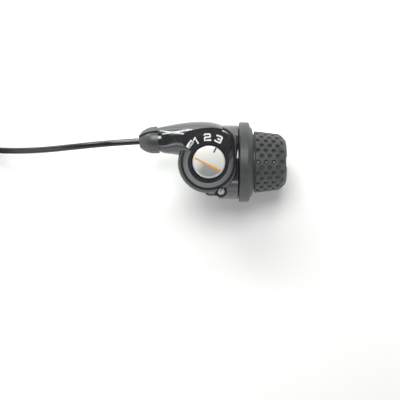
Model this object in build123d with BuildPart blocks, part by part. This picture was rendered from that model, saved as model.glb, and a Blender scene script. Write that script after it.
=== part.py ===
from build123d import *
import os
from math import atan2, cos, degrees, radians, sin, sqrt, tan

# Twist grip gear shifter with an indicator dial, for a bicycle handlebar.
# The bar runs along X and the grip opens towards +X. The cable leaves towards -X
# on the +Y side, and the indicator looks along +Z above the origin. Millimetres.

# Fits
bar_d = 22.2
bar_play = 0.1
run_play = 0.05
face_gap = 0.3
free_gap = 0.4
seat_play = 0.02
edge = 0.5

# Clamp barrel, lugs and bolt
sleeve_wall = 1.0
clamp_wall = 4.3
clamp_left = -11.0
lug_width = 8.2
lug_height = 13.0
lug_reach = 20.9
split_gap = 1.6
bolt_d = 4.0
bolt_x = 1.7
bolt_y = -17.4
bolt_head_d = 7.0
bolt_head_h = 4.0
nut_flats = 6.2
nut_h = 3.2

# Winding drum and its wire
drum_wall = 2.55
drum_left = 6.6
wire_d = 1.2
wire_sunk = 0.2
channel_play = 0.7
groove_x = 11.0
groove_w = 1.9
wire_wrap_deg = 68.0
nipple_d = 3.6
nipple_length = 4.0
gear_step_deg = 27.5
detent_r = 1.2
leaf_t = 0.4
leaf_w = 1.8

# Indicator drive
pitch_r = 16.0
tooth_count = 30
tooth_w = 1.15
tooth_root = 1.1
tooth_tip = 0.8
crown_rim = 0.6
crown_disc_t = 1.3
gear_t = 1.6
spindle_r = 2.5
pivot_r = 1.5
pivot_length = 2.2

# Housing shell and indicator pod
shell_wall = 2.8
shell_gap = 2.8
chamber_wall = 0.6
cover_gap = 0.6
shell_to_flange = 0.5
pod_bottom = 12.0
pod_lower_fillet = 2.0
shoulder_r = 3.4
bevel_h = 1.7
face_above_shell = 2.5
pod_wall = 1.8
dial_r = 10.4
dial_t = 0.9
foil_t = 0.2
dial_sunk = 0.3
dial_play = 0.35
foil_margin = 0.2
screw_x = 7.4
screw_y = -17.9
screw_boss_r = 3.6
screw_head_r = 2.1
screw_head_h = 1.3
screw_r = 1.2
screw_length = 7.5
screw_floor = 2.2

# Cable arm and adjusting barrel
nozzle_x = -30.6
nozzle_y = 13.8
nozzle_z = 13.0
nozzle_r = 7.5
spigot_r = 6.8
spigot_length = 1.4
arm_tilt_deg = 5.5
stem_r = 4.0
stem_in = 11.5
knob_length = 12.15
knob_r = 8.3
knob_end_r = 4.7
knob_groove_w = 1.5
knob_groove_depth = 1.1
knob_groove_deg = 36.0
knob_skirt = 2.6
knob_edge = 0.8
casing_d = 4.0
ferrule_wall = 0.6

# Grip
flange_d = 49.8
flange_w = 6.9
neck_w = 2.5
core_wall = 3.15
rubber_length = 19.9
rubber_r = 19.3
rubber_end_r = 16.9
rubber_round_w = 4.5
rubber_round_r = 4.0
rubber_rim_w = 0.5
rubber_rim_edge = 0.8
rubber_edge = 0.8
rubber_end_wall = 4.6
dimple_w = 2.8
dimple_depth = 0.9
dimple_floor_w = 1.6
dimple_sides = 8
dimple_rows = 32
dimple_pitch = 4.9
dimple_first = 1.9
retainer_t = 0.8
retainer_in = 1.8
retainer_groove = 0.5
sleeve_short = 1.5

# Sizes that follow from the ones above
bore_r = bar_d / 2 + bar_play
sleeve_r = bore_r + sleeve_wall
turn_r = sleeve_r + run_play
clamp_r = bore_r + clamp_wall
drum_r = turn_r + drum_wall
wire_line_r = drum_r - wire_sunk
groove_r = wire_line_r - wire_d / 2 - face_gap
gear_z = drum_r + free_gap
gear_top = gear_z + gear_t
root_r = pitch_r - tooth_root
tip_r = pitch_r + tooth_tip
disc_left = tip_r + face_gap
disc_r = gear_top + crown_rim
drum_right = disc_left + crown_disc_t
chamber_r = disc_r + shell_gap
shell_r = chamber_r + shell_wall
chamber_left = drum_left - chamber_wall
split_z = disc_r + cover_gap
face_z = shell_r + face_above_shell
flange_left = drum_right + free_gap
shell_right = flange_left - shell_to_flange
flange_r = flange_d / 2
flange_right = flange_left + flange_w
rubber_left = flange_right + neck_w
rubber_right = rubber_left + rubber_length
core_r = turn_r + core_wall
core_right = rubber_right - rubber_end_wall
sleeve_right = core_right - sleeve_short
retainer_x = sleeve_right - retainer_in
wire_r = wire_d / 2
channel_r = wire_r + channel_play

os.makedirs("parts", exist_ok=True)


def on_drum(x, radius, angle_deg):
    """Point at a radius round the bar, with the angle counted from +Y towards +Z."""
    angle = radians(angle_deg)
    return Vector(x, radius * cos(angle), radius * sin(angle))


def belt(circles):
    """Closed line of tangents and arcs round circles listed counter-clockwise."""
    spans = []
    for (x0, y0, r0), (x1, y1, r1) in zip(circles, circles[1:] + circles[:1]):
        span = Vector(x1 - x0, y1 - y0)
        along = span.normalized()
        lean = (r0 - r1) / span.length
        normal = along * lean + Vector(along.Y, -along.X) * sqrt(1 - lean * lean)
        spans.append((Vector(x0, y0) + normal * r0, Vector(x1, y1) + normal * r1, normal))
    for index, (x, y, radius) in enumerate(circles):
        _, arc_start, start_normal = spans[index - 1]
        arc_end, line_end, end_normal = spans[index]
        start_deg = degrees(atan2(start_normal.Y, start_normal.X))
        sweep_deg = (degrees(atan2(end_normal.Y, end_normal.X)) - start_deg) % 360
        middle = radians(start_deg + sweep_deg / 2)
        ThreePointArc(arc_start, (x + radius * cos(middle), y + radius * sin(middle)), arc_end)
        Line(arc_end, line_end)


# The pod's plan is a belt round the dial's bowl and the upper right corner. Its
# cover also takes in the brow over the numbers and the tip that runs out on the arm.
bowl_r = tip_r + pod_wall
pod_plan = [(-0.4, -0.4, bowl_r), (6.8, 11.2, 10.6)]
cover_plan = pod_plan + [(-1.5, 4.5, 18.0), (-14.5, 13.9, 2.4)]
shoulder_plan = [(x, y, radius - shoulder_r) for x, y, radius in pod_plan]
face_inset = [2.8, 0.8]
face_plan = [(x, y, radius - inset) for (x, y, radius), inset in zip(shoulder_plan, face_inset)]
shoulder_z = face_z - bevel_h

# Outer form of the housing, from which the body and its cover are parted. The arm
# swells as it runs into the pod, and the flat face cuts its crown off to a tip.
# Each section has its middle, its half width, its rise, its depth and how far it leans.
arm_sections = [
    (nozzle_x, nozzle_y, nozzle_z, nozzle_r, nozzle_r, nozzle_r, arm_tilt_deg),
    (-24.3, 13.8, 12.8, 8.8, 9.3, 8.8, arm_tilt_deg / 2),
    (-17.0, 13.8, 12.5, 10.2, 13.0, 9.9, 0),
    (-8.7, 12.4, 12.2, 12.5, 16.4, 11.4, 0),
    (0.0, 11.3, 12.1, 13.5, 19.0, 11.9, 0),
    (8.0, 10.8, 12.0, 11.9, 20.6, 11.9, 0),
]

with BuildPart() as pod_form:
    with BuildSketch(Plane.XY.offset(pod_bottom)):
        with BuildLine():
            belt(pod_plan)
        make_face()
    extrude(amount=shoulder_z - pod_bottom)
    fillet(pod_form.faces().sort_by(Axis.Z)[-1].edges(), radius=shoulder_r)
    fillet(pod_form.faces().sort_by(Axis.Z)[0].edges(), radius=pod_lower_fillet)
    with BuildSketch(Plane.XY.offset(shoulder_z)):
        with BuildLine():
            belt(shoulder_plan)
        make_face()
    with BuildSketch(Plane.XY.offset(face_z)):
        with BuildLine():
            belt(face_plan)
        make_face()
    loft(ruled=True)

with BuildPart() as outer_form:
    for x, y, z, half_w, rise, depth, lean_deg in arm_sections:
        along = Vector(cos(radians(lean_deg)), sin(radians(lean_deg)), 0)
        with BuildSketch(Plane(origin=(x, y, z), x_dir=(-along.Y, along.X, 0), z_dir=along)):
            with BuildLine():
                EllipticalCenterArc((0, 0), half_w, rise, start_angle=0, arc_size=180)
                EllipticalCenterArc((0, 0), half_w, depth, start_angle=180, arc_size=180)
            make_face()
    loft()
    with Locations((0, 0, face_z)):
        above_face = (Align.CENTER, Align.CENTER, Align.MIN)
        Box(4 * shell_r, 4 * shell_r, shell_r, align=above_face, mode=Mode.SUBTRACT)
    add(pod_form.part)
    with BuildSketch(Plane.XY):
        with BuildLine():
            Polyline(
                (clamp_left, 0),
                (clamp_left, clamp_r - 2 * edge),
                (clamp_left + 2 * edge, clamp_r),
                (chamber_left - edge, clamp_r),
                (chamber_left - edge, shell_r - 2 * edge),
                (chamber_left + edge, shell_r),
                (shell_right - edge, shell_r),
                (shell_right, shell_r - edge),
                (shell_right, 0),
                close=True,
            )
        make_face()
    revolve(axis=Axis.X)
    screw_seat_z = split_z + screw_floor
    with BuildSketch(Plane.XY.offset(pod_bottom)):
        with Locations((screw_x, screw_y)):
            Circle(screw_boss_r)
    extrude(amount=screw_seat_z + screw_head_h * 0.6 - pod_bottom)

# Cable arm axis, from the nozzle's mouth outwards
arm_tilt = radians(arm_tilt_deg)
cable_out = Vector(-cos(arm_tilt), -sin(arm_tilt), 0)
nozzle = Vector(nozzle_x, nozzle_y, nozzle_z)
barrel_axis = Axis(nozzle, cable_out)
barrel_side = Plane(origin=nozzle, x_dir=cable_out, z_dir=(0, 0, 1))

# Inner wire, from the casing's end down on to the drum
casing_start = 9.05
wire_turn_x = nozzle_x + (wire_line_r - nozzle_y) / tan(arm_tilt)
wire_bend_r = 9.0

with BuildPart() as inner_wire:
    with BuildLine() as wire_path:
        run_down = FilletPolyline(
            nozzle + cable_out * (casing_start - face_gap),
            Vector(wire_turn_x, wire_line_r, nozzle_z),
            Vector(groove_x, wire_line_r, nozzle_z),
            Vector(groove_x, wire_line_r, 0),
            radius=[60.0, wire_bend_r],
        )
        ThreePointArc(
            run_down @ 1,
            on_drum(groove_x, wire_line_r, -wire_wrap_deg / 2),
            on_drum(groove_x, wire_line_r, -wire_wrap_deg),
        )
    with BuildSketch(Plane(origin=run_down @ 0, z_dir=run_down % 0)):
        Circle(wire_r)
    sweep()

# Main housing: clamp, drum chamber, sleeve, lower pod and cable arm
lug_left = bolt_x - lug_width / 2
lug_right = chamber_left - edge
gear_room_r = tip_r + face_gap

with BuildPart() as main_housing:
    add(outer_form.part)
    with BuildSketch(Plane.XY.offset(split_z)):
        with BuildLine():
            belt(cover_plan)
        make_face()
        with Locations((screw_x, screw_y)):
            Circle(screw_boss_r)
    extrude(amount=face_z, mode=Mode.SUBTRACT)
    with BuildSketch(Plane.XY.offset(-lug_height / 2)) as lug_plan:
        with Locations(((lug_left + lug_right) / 2, -lug_reach / 2)):
            Rectangle(lug_right - lug_left, lug_reach)
        fillet(lug_plan.vertices().group_by(Axis.Y)[0].sort_by(Axis.X)[0], radius=3.0)
    extrude(amount=lug_height)
    with BuildSketch(Plane.YZ.offset(chamber_left)):
        Circle(chamber_r)
    extrude(amount=shell_right, mode=Mode.SUBTRACT)
    with BuildSketch(Plane.YZ.offset(chamber_left)):
        Circle(sleeve_r)
    extrude(amount=sleeve_right - chamber_left)
    with BuildSketch(Plane.YZ.offset(retainer_x - run_play)):
        Circle(sleeve_r + retainer_groove)
        Circle(sleeve_r - retainer_groove, mode=Mode.SUBTRACT)
    extrude(amount=retainer_t + 2 * run_play, mode=Mode.SUBTRACT)
    with BuildSketch(Plane.YZ.offset(clamp_left - 1)):
        Circle(bore_r)
    extrude(amount=sleeve_right - clamp_left + 2, mode=Mode.SUBTRACT)
    # Room for the indicator's gear, open to the drum chamber
    with BuildSketch(Plane.XY.offset(gear_z - face_gap)) as gear_room:
        Circle(gear_room_r)
        with Locations((-gear_room_r - spindle_r - 4.0, 0)):
            Rectangle(2 * gear_room_r, 3 * gear_room_r, mode=Mode.SUBTRACT)
    extrude(amount=split_z - gear_z + face_gap, mode=Mode.SUBTRACT)
    with Locations((0, 0, gear_z - pivot_length / 2 - 0.1)):
        Cylinder(pivot_r + run_play, pivot_length + 0.2, mode=Mode.SUBTRACT)
    # Clamp split and bolt hole
    with Locations(((clamp_left - 1 + lug_right - face_gap) / 2, -lug_reach / 2 - 5, 0)):
        Box(lug_right - face_gap - clamp_left + 1, lug_reach, split_gap, mode=Mode.SUBTRACT)
    with Locations((bolt_x, bolt_y, 0)):
        Cylinder(bolt_d / 2 + 0.15, lug_height + 2, mode=Mode.SUBTRACT)
    # Cable path: spigot with the threaded mouth, straight channel and the pocket of the bend
    with BuildSketch(Plane(origin=nozzle - cable_out * spigot_length, x_dir=(0, 0, 1), z_dir=cable_out)):
        Circle(spigot_r)
    extrude(amount=2 * spigot_length)
    with BuildSketch(Plane(origin=nozzle + cable_out * 2 * spigot_length, x_dir=(0, 0, 1), z_dir=-cable_out)):
        Circle(stem_r + run_play)
    extrude(amount=stem_in + 2 * spigot_length + 1.0, mode=Mode.SUBTRACT)
    with BuildSketch(Plane(origin=nozzle, x_dir=(0, 0, 1), z_dir=-cable_out)):
        Circle(2 * channel_r - wire_r)
    extrude(amount=wire_turn_x - nozzle_x + 0.5, mode=Mode.SUBTRACT)
    with BuildSketch(Plane.YZ.offset(wire_turn_x)):
        with Locations((wire_line_r, nozzle_z)):
            Circle(channel_r)
    extrude(amount=chamber_left - wire_turn_x + 0.5, mode=Mode.SUBTRACT)
    bend_room_left = groove_x - wire_bend_r - 0.5
    with Locations(((bend_room_left + chamber_left + 0.5) / 2, wire_line_r, nozzle_z - 3.0)):
        Box(chamber_left + 0.5 - bend_room_left, 2 * channel_r, 6.0, mode=Mode.SUBTRACT)
    # Cover screw
    with Locations((screw_x, screw_y, split_z)):
        Cylinder(screw_r + 0.05, 2 * screw_length, mode=Mode.SUBTRACT)

# Indicator cover: brow, bevel and shoulder of the pod, with the dial's recess
recess_floor = face_z - dial_sunk - foil_t - dial_t - free_gap

with BuildPart() as indicator_cover:
    add(outer_form.part)
    with BuildSketch(Plane.XY.offset(split_z)):
        with BuildLine():
            belt(cover_plan)
        make_face()
        with Locations((screw_x, screw_y)):
            Circle(screw_boss_r)
    extrude(amount=face_z, mode=Mode.INTERSECT)
    with BuildSketch(Plane.XY.offset(recess_floor)):
        Circle(dial_r + dial_play)
    extrude(amount=face_z, mode=Mode.SUBTRACT)
    with Locations((0, 0, split_z)):
        Cylinder(spindle_r + run_play, 2 * face_z, mode=Mode.SUBTRACT)
    with Locations((screw_x, screw_y, screw_seat_z)):
        Cylinder(screw_r + 0.15, 4 * screw_length, mode=Mode.SUBTRACT)
    with BuildSketch(Plane.XY.offset(screw_seat_z)):
        with Locations((screw_x, screw_y)):
            Circle(screw_head_r + 0.5)
    extrude(amount=face_z, mode=Mode.SUBTRACT)

# Cover screw with a driver slot
with BuildPart() as cover_screw:
    with Locations((screw_x, screw_y, screw_seat_z)):
        Cylinder(screw_head_r, screw_head_h, align=(Align.CENTER, Align.CENTER, Align.MIN))
        chamfer(cover_screw.faces().sort_by(Axis.Z)[-1].edges(), length=0.4)
        Cylinder(screw_r, screw_length, align=(Align.CENTER, Align.CENTER, Align.MAX))
    with Locations(Location((screw_x, screw_y, screw_seat_z + screw_head_h), (0, 0, 40))):
        Box(3 * screw_head_r, 0.6, 1.2, mode=Mode.SUBTRACT)

# Clamp bolt with a socket head under the lugs
lug_top = lug_height / 2
with BuildPart() as clamp_bolt:
    with Locations((bolt_x, bolt_y, -lug_top)):
        Cylinder(bolt_head_d / 2, bolt_head_h, align=(Align.CENTER, Align.CENTER, Align.MAX))
    chamfer(clamp_bolt.faces().sort_by(Axis.Z)[0].edges(), length=0.5)
    with BuildSketch(Plane.XY.offset(-lug_top - bolt_head_h)):
        with Locations((bolt_x, bolt_y)):
            RegularPolygon(bolt_d * 0.43, 6)
    extrude(amount=bolt_head_h * 0.6, mode=Mode.SUBTRACT)
    with BuildSketch(Plane.XY.offset(-lug_top)):
        with Locations((bolt_x, bolt_y)):
            Circle(bolt_d / 2)
    extrude(amount=lug_height + nut_h + 1.0)
    chamfer(clamp_bolt.faces().sort_by(Axis.Z)[-1].edges(), length=0.5)

with BuildPart() as clamp_nut:
    with BuildSketch(Plane.XY.offset(lug_top)):
        with Locations((bolt_x, bolt_y)):
            RegularPolygon(nut_flats / 2, 6, major_radius=False)
            Circle(bolt_d / 2 + seat_play, mode=Mode.SUBTRACT)
    extrude(amount=nut_h)

# Snap ring that keeps the grip on the sleeve
with BuildPart() as grip_retainer:
    with BuildSketch(Plane.YZ.offset(retainer_x)):
        Circle(sleeve_r + 1.5)
        Circle(sleeve_r - retainer_groove + run_play, mode=Mode.SUBTRACT)
        with Locations((0, -sleeve_r)):
            Rectangle(3.0, 6.0, mode=Mode.SUBTRACT)
    extrude(amount=retainer_t)

# Detent leaf: a chord across the bottom of the drum chamber with a pressed bump
leaf_top = -drum_r - 2.2
leaf_bottom = leaf_top - leaf_t
leaf_half = sqrt(chamber_r ** 2 - leaf_bottom ** 2) - 0.03
leaf_x = drum_left + 0.2
bump_top = -drum_r + 0.6

with BuildPart() as detent_spring:
    with BuildSketch(Plane.YZ.offset(leaf_x)):
        with Locations((0, (leaf_top + leaf_bottom) / 2)):
            Rectangle(2 * leaf_half, leaf_t)
        with Locations((0, bump_top - detent_r)):
            Circle(detent_r)
        with Locations((0, (bump_top - detent_r + leaf_top) / 2)):
            Rectangle(2 * detent_r, bump_top - detent_r - leaf_top)
    extrude(amount=leaf_w)

# Winding drum: wire groove, detent notches, nipple boss and the crown of teeth
detent_angles = [-90.0 + step * gear_step_deg for step in range(3)]
nipple_deg = -wire_wrap_deg - degrees(0.5 * nipple_length / wire_line_r) - 1.0
boss_r = wire_line_r + nipple_d / 2 + 0.4
boss_w = nipple_d + 0.8
tooth_angle = 360.0 / tooth_count
crown_tip_x = root_r + face_gap
dog_r = turn_r + 2.0
dog_h = 1.4

with BuildPart() as winding_drum:
    with BuildSketch(Plane.XY):
        with BuildLine():
            Polyline(
                (drum_left, turn_r),
                (drum_left, drum_r),
                (groove_x - groove_w / 2, drum_r),
                (groove_x - groove_w / 2, groove_r),
                (groove_x + groove_w / 2, groove_r),
                (groove_x + groove_w / 2, drum_r),
                (disc_left, drum_r),
                (disc_left, disc_r),
                (drum_right, disc_r),
                (drum_right, turn_r),
                close=True,
            )
        make_face()
    revolve(axis=Axis.X)
    with BuildSketch(Plane.YZ.offset(disc_left)):
        with PolarLocations((gear_z + gear_top) / 2, tooth_count, start_angle=90 + tooth_angle / 2):
            Rectangle(gear_top - gear_z, tooth_w)
    extrude(amount=crown_tip_x - disc_left)
    with BuildSketch(Plane.YZ.offset(drum_right)):
        with PolarLocations(dog_r, 3, start_angle=90):
            Rectangle(2.0, 5.0)
    extrude(amount=dog_h)
    # Boss with the nipple's pocket, open outwards
    nipple_at = on_drum(groove_x, wire_line_r, nipple_deg)
    nipple_out = on_drum(0, 1, nipple_deg)
    nipple_along = on_drum(0, 1, nipple_deg - 90)
    boss_plane = Plane(origin=(groove_x, 0, 0), x_dir=nipple_along, z_dir=nipple_out)
    with BuildSketch(boss_plane.offset(groove_r - 0.4)):
        Rectangle(nipple_length + 2.4, boss_w)
    extrude(amount=boss_r - groove_r + 0.4)
    with BuildSketch(Plane(origin=nipple_at - nipple_along * (nipple_length / 2), z_dir=nipple_along)):
        Circle(nipple_d / 2 + seat_play)
    extrude(amount=nipple_length, mode=Mode.SUBTRACT)
    with BuildSketch(boss_plane.offset(wire_line_r)):
        Rectangle(nipple_length, nipple_d + 2 * seat_play)
    extrude(amount=boss_r, mode=Mode.SUBTRACT)
    with BuildSketch(boss_plane.offset(groove_r)):
        with Locations((-nipple_length / 2 - 1.0, 0)):
            Rectangle(3.0, groove_w)
    extrude(amount=boss_r, mode=Mode.SUBTRACT)
    with BuildSketch(Plane.YZ.offset(drum_left)):
        for angle in detent_angles:
            with Locations((on_drum(0, drum_r, angle).Y, on_drum(0, drum_r, angle).Z)):
                Circle(detent_r + 0.3)
    extrude(amount=leaf_w + 0.3, mode=Mode.SUBTRACT)

with BuildPart() as cable_nipple:
    with BuildSketch(Plane(origin=nipple_at - nipple_along * (nipple_length / 2), z_dir=nipple_along)):
        Circle(nipple_d / 2)
    extrude(amount=nipple_length)
    chamfer(cable_nipple.edges().filter_by(GeomType.CIRCLE), length=0.3)

# Grip core: hub, guard flange with a hollow neck, and the tube under the rubber
core_counter_r = sleeve_r + 2.0
flange_edge = 1.6
neck_r = rubber_r - 0.6
neck_groove_r = rubber_r - 1.8

with BuildPart() as grip_core:
    with BuildSketch(Plane.XY):
        with BuildLine():
            Polyline(
                (flange_right - 0.5, flange_r - 2.6),
                (flange_right - 0.5, flange_r - flange_edge),
            )
            TangentArc(
                (flange_right - 0.5, flange_r - flange_edge),
                (flange_right - 0.5 - flange_edge, flange_r),
                tangent=(0, 1),
            )
            Polyline(
                (flange_right - 0.5 - flange_edge, flange_r),
                (flange_left + 0.6, flange_r),
                (flange_left, flange_r - 0.6),
                (flange_left, disc_r),
                (drum_right, disc_r),
                (drum_right, turn_r),
                (retainer_x - free_gap, turn_r),
                (retainer_x - free_gap, core_counter_r),
                (core_right, core_counter_r),
                (core_right, core_r),
                (rubber_left, core_r),
                (rubber_left, neck_groove_r),
                (rubber_left - 1.0, neck_groove_r),
                (rubber_left - 1.0, neck_r),
            )
            RadiusArc(
                (rubber_left - 1.0, neck_r),
                (flange_right - 0.5, flange_r - 2.6),
                -4.0,
            )
        make_face()
    revolve(axis=Axis.X)
    with BuildSketch(Plane.YZ.offset(drum_right)):
        with PolarLocations(dog_r, 3, start_angle=90):
            Rectangle(2.2, 5.2)
    extrude(amount=dog_h + 0.1, mode=Mode.SUBTRACT)

# Rubber sleeve with its staggered dimples, turned over the core's open end
lip_r = core_counter_r - 0.6
rim_r = lip_r + rubber_rim_w
slope = (rubber_r - rubber_end_r) / rubber_length
round_x = rubber_right - rubber_round_w
round_r = rubber_r - slope * (round_x - rubber_left)
round_slope = (round_r - rim_r) / rubber_round_w
dimple_flare_deg = degrees(atan2((dimple_w - dimple_floor_w) / 2, dimple_depth))
end_notch_w = 6.0
row_step = 360.0 / dimple_rows

with BuildPart() as grip_rubber:
    with BuildSketch(Plane.XY.rotated((row_step / 2, 0, 0))) as rubber_section:
        with BuildLine():
            Polyline(
                (rubber_left, core_r + seat_play),
                (core_right + seat_play, core_r + seat_play),
                (core_right + seat_play, lip_r),
                (rubber_right, lip_r),
                (rubber_right, rim_r),
                (round_x, round_r),
                (rubber_left, rubber_r),
                close=True,
            )
        make_face()
        rim_corner = rubber_section.vertices().sort_by(Axis.X)[-2:].sort_by(Axis.Y)[-1]
        fillet(rim_corner, radius=rubber_rim_edge)
        fillet(rubber_section.vertices().sort_by(Axis.Y)[-2], radius=rubber_round_r)
        fillet(rubber_section.vertices().sort_by(Axis.Y)[-1], radius=rubber_edge)
    revolve(axis=Axis.X)
    with Locations((rubber_right, 0, rubber_end_r)):
        Box(1.2, end_notch_w, 12.0, mode=Mode.SUBTRACT)
    dimple_floors = []
    for row in range(dimple_rows):
        row_deg = 90 + row * row_step
        outward = on_drum(0, 1, row_deg)
        first = rubber_left + dimple_first + (row % 2) * dimple_pitch / 2
        for column in range(4 - row % 2):
            x = first + column * dimple_pitch
            surface_r = min(rubber_r - slope * (x - rubber_left), round_r - round_slope * (x - round_x))
            floor_centre = on_drum(x, surface_r - dimple_depth, row_deg)
            dimple_floors.append(Plane(floor_centre, x_dir=(1, 0, 0), z_dir=outward))
    with BuildSketch(*dimple_floors):
        RegularPolygon(dimple_floor_w / 2, dimple_sides)
    extrude(amount=2 * dimple_depth, taper=-dimple_flare_deg, mode=Mode.SUBTRACT)

# Indicator: toothed sector with its spindle, the dial plate and the foil on it
dial_low = recess_floor + free_gap
sector_from_deg = 30.0
sector_to_deg = -90.0
sector_teeth = range(-7, 3)


def on_sector(angle_deg):
    """Point on the sector's root circle."""
    return (root_r * cos(radians(angle_deg)), root_r * sin(radians(angle_deg)))


with BuildPart() as dial_gear:
    with BuildSketch(Plane.XY.offset(gear_z)):
        with BuildLine():
            Line((0, 0), on_sector(sector_from_deg))
            ThreePointArc(
                on_sector(sector_from_deg),
                on_sector((sector_from_deg + sector_to_deg) / 2),
                on_sector(sector_to_deg),
            )
            Line(on_sector(sector_to_deg), (0, 0))
        make_face()
        Circle(2.4 * spindle_r)
        for tooth in sector_teeth:
            with Locations(Location((0, 0, 0), (0, 0, tooth * tooth_angle))):
                with Locations(((root_r - 0.4 + tip_r) / 2, 0)):
                    Rectangle(tip_r - root_r + 0.4, tooth_w)
    extrude(amount=gear_t)
    with BuildSketch(Plane.XY.offset(gear_top)):
        Circle(spindle_r)
    extrude(amount=dial_low - gear_top)
    with BuildSketch(Plane.XY.offset(gear_z)):
        Circle(pivot_r)
    extrude(amount=-pivot_length)

with BuildPart() as dial_plate:
    with BuildSketch(Plane.XY.offset(dial_low)):
        Circle(dial_r)
    extrude(amount=dial_t)
    chamfer(dial_plate.faces().sort_by(Axis.Z)[-1].edges(), length=0.15)

with BuildPart() as dial_foil:
    with BuildSketch(Plane.XY.offset(dial_low + dial_t)):
        Circle(dial_r - foil_margin)
    extrude(amount=foil_t)

# Adjusting barrel: three-lobed knob on a threaded stem
knob_gap = 0.4
hole_r = casing_d / 2 + ferrule_wall + bar_play
stem_out = 8.0


def knob_profile(inset):
    """Half section of the knob's rounded cone, from its skirt to its small end."""
    Polyline((knob_length, 0), (knob_gap, 0), (knob_gap, knob_r - inset), (knob_skirt, knob_r - inset))
    TangentArc(
        (knob_skirt, knob_r - inset), (knob_length - knob_edge, knob_end_r - inset), tangent=(1, 0)
    )
    Polyline(
        (knob_length - knob_edge, knob_end_r - inset),
        (knob_length, knob_end_r - inset - knob_edge),
        (knob_length, 0),
    )


with BuildPart() as adjusting_barrel:
    with BuildSketch(barrel_side):
        with BuildLine():
            knob_profile(0)
        make_face()
    revolve(axis=barrel_axis)
    for turn in range(3):
        groove_deg = knob_groove_deg + 120.0 * turn
        groove_out = Vector(0, cos(radians(90 - groove_deg)), sin(radians(90 - groove_deg)))
        with BuildSketch(Plane(origin=nozzle, x_dir=cable_out, z_dir=groove_out)):
            with Locations((knob_length / 2, 0)):
                Rectangle(2 * knob_length, knob_groove_w)
        extrude(amount=2 * knob_r, mode=Mode.SUBTRACT)
    with BuildSketch(barrel_side):
        with BuildLine():
            knob_profile(knob_groove_depth)
        make_face()
    revolve(axis=barrel_axis)
    mouth = Plane(origin=nozzle, x_dir=(0, 0, 1), z_dir=cable_out)
    with BuildSketch(mouth):
        Circle(spigot_r + free_gap)
    extrude(amount=spigot_length + free_gap, mode=Mode.SUBTRACT)
    with BuildSketch(mouth):
        Circle(stem_r + seat_play)
    extrude(amount=stem_out, mode=Mode.SUBTRACT)
    with BuildSketch(mouth):
        Circle(hole_r)
    extrude(amount=2 * knob_length, mode=Mode.SUBTRACT)

with BuildPart() as barrel_stem:
    with BuildSketch(mouth.offset(-stem_in)):
        Circle(stem_r)
        Circle(channel_r, mode=Mode.SUBTRACT)
    extrude(amount=stem_in + stem_out)
    chamfer(barrel_stem.edges().filter_by(GeomType.CIRCLE).sort_by(Axis.X)[-1], length=0.3)

# Casing ferrule, a cup that seats on the stem
with BuildPart() as casing_ferrule:
    with BuildSketch(mouth.offset(stem_out + seat_play)):
        Circle(casing_d / 2 + ferrule_wall)
        Circle(channel_r, mode=Mode.SUBTRACT)
    extrude(amount=knob_length - stem_out - bar_play)
    with BuildSketch(mouth.offset(casing_start)):
        Circle(casing_d / 2 + seat_play)
    extrude(amount=knob_length, mode=Mode.SUBTRACT)

# Outer casing: the stretch in view, a put-away coil and the tail that lies on it
coil_centre = Vector(-168.0, -15.4, -24.2)
coil_rows = 4
coil_layers = 3
coil_mean_r = 21.0
coil_slack = 0.2
coil_half_w = coil_layers * casing_d / 2 + coil_slack
coil_h = coil_rows * casing_d + 2 * coil_slack
row_lift = casing_d / 2 + coil_slack
coil_outer_turn = coil_mean_r + casing_d
lead_points = [
    nozzle + cable_out * casing_start,
    nozzle + cable_out * (casing_start + 20.4),
    Vector(-82.0, 9.9, 8.0),
    Vector(-106.0, 7.3, -5.0),
    Vector(-130.0, 7.0, -17.0),
    Vector(-150.0, 8.7, -22.0),
    Vector(coil_centre.X, coil_centre.Y + coil_outer_turn, coil_centre.Z + row_lift),
]
tail_points = [
    Vector(coil_centre.X - coil_outer_turn, coil_centre.Y, coil_centre.Z + coil_h - row_lift),
    Vector(coil_centre.X - 21.2, coil_centre.Y - 12.3, -8.0),
    Vector(coil_centre.X - 11.3, coil_centre.Y - 19.5, -5.8),
    Vector(coil_centre.X, coil_centre.Y - 21.5, -5.6),
    Vector(coil_centre.X + 10.8, coil_centre.Y - 18.6, -5.4),
    Vector(coil_centre.X + 19.2, coil_centre.Y - 10.1, -5.0),
]


def cord_radii(points):
    """Largest tangent arc at each inner point that its two runs leave room for."""
    radii = []
    for before, at, after in zip(points, points[1:], points[2:]):
        turn = (at - before).get_angle(after - at)
        shorter = min((at - before).length, (after - at).length)
        radii.append(0.45 * shorter / tan(radians(turn) / 2))
    print("cord radii:", [round(radius, 1) for radius in radii])
    return radii


with BuildPart() as outer_casing:
    with BuildLine() as lead_path:
        lead = FilletPolyline(*lead_points, radius=cord_radii(lead_points))
    with BuildSketch(Plane(origin=lead @ 0, z_dir=lead % 0)):
        Circle(casing_d / 2)
    sweep()

with BuildPart() as casing_coil:
    with BuildSketch(Plane.XY.offset(coil_centre.Z)):
        with Locations((coil_centre.X, coil_centre.Y)):
            Circle(coil_mean_r + coil_half_w)
            Circle(coil_mean_r - coil_half_w, mode=Mode.SUBTRACT)
    extrude(amount=coil_h)
    chamfer(casing_coil.edges().filter_by(GeomType.CIRCLE), length=casing_d * 0.3)

with BuildPart() as casing_tail:
    with BuildLine() as tail_path:
        tail = FilletPolyline(*tail_points, radius=cord_radii(tail_points))
    with BuildSketch(Plane(origin=tail @ 0, z_dir=tail % 0)):
        Circle(casing_d / 2)
    sweep()

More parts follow.
